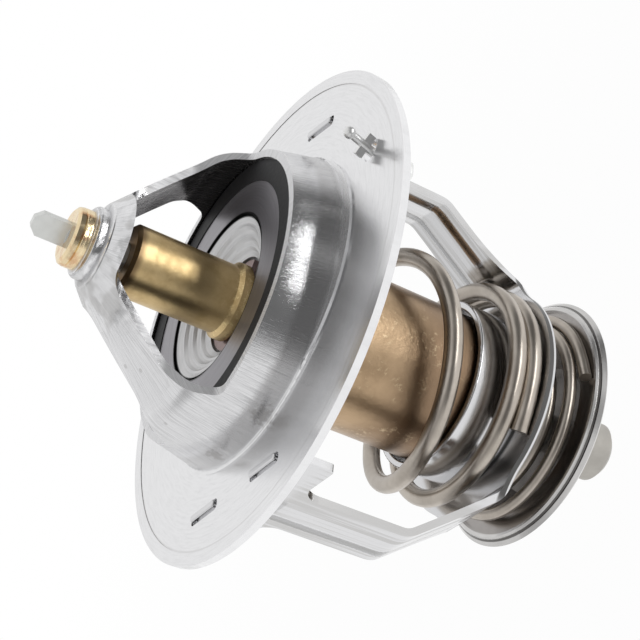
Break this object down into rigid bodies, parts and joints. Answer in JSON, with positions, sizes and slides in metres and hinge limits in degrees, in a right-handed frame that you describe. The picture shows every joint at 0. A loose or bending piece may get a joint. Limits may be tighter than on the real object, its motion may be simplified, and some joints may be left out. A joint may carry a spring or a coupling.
{
  "type": "engine thermostat",
  "caption": "Coolant thermostat with a flanged bell, brass wax element, spring-loaded main valve, two-legged lower frame and sprung bypass disc.",
  "frame": {"origin": "centre of the flange's top face, on the thermostat's axis", "axes": "+Z along the axis towards the apex of the bell and the piston's tip; +X through one arm of the bell and the first leg of the lower frame; the windows face +Y and -Y"},
  "size_m": [0.054, 0.054, 0.07],
  "materials": {
    "stainless_sheet": "bright pressed stainless sheet with fine drawing streaks",
    "valve_steel": "bright pressed stainless sheet",
    "piston_steel": "satin",
    "bush_brass": "bright turned brass",
    "guide_brass": "polished brass",
    "cup_brass": "drawn brass, slightly dulled",
    "clip_copper": "copper-coloured plating",
    "spring_steel": "satin drawn wire",
    "stem_steel": "pale matte steel",
    "pin_steel": "bright steel",
    "black_rubber": "moulded, matte",
    "wax": "copper-filled wax",
    "washer_polymer": "plain"
  },
  "bodies": {
    "frame": {"upper_frame": "stainless_sheet", "lower_frame": "stainless_sheet", "piston": "piston_steel", "piston_bush": "bush_brass", "main_spring": "spring_steel"},
    "element": {"guide": "guide_brass", "guide_seal": "black_rubber", "wax_cup": "cup_brass", "wax_pellet": "wax", "rubber_boot": "black_rubber", "backup_washer": "washer_polymer", "main_valve": "valve_steel", "valve_seal": "black_rubber", "valve_clip": "clip_copper", "bypass_stem": "stem_steel", "bypass_spring": "spring_steel"},
    "bypass": {"bypass_valve": "stainless_sheet"},
    "jiggle": {"jiggle_pin": "pin_steel", "jiggle_weight": "pin_steel"}
  },
  "joints": [
    {"name": "valve_lift", "type": "slide", "parent": "frame", "child": "element", "axis": [0, 0, -1], "range_m": [0, 0.0085], "stiffness_N_per_m": 2500, "springref_m": -0.016, "deforming": ["main_spring"]},
    {"name": "bypass_slip", "type": "slide", "parent": "element", "child": "bypass", "axis": [0, 0, 1], "range_m": [0, 0.0035], "stiffness_N_per_m": 900, "springref_m": -0.004, "deforming": ["bypass_spring"]},
    {"name": "jiggle_lift", "type": "slide", "parent": "frame", "child": "jiggle", "axis": [0, 0, 1], "range_m": [0, 0.0011]}
  ]
}
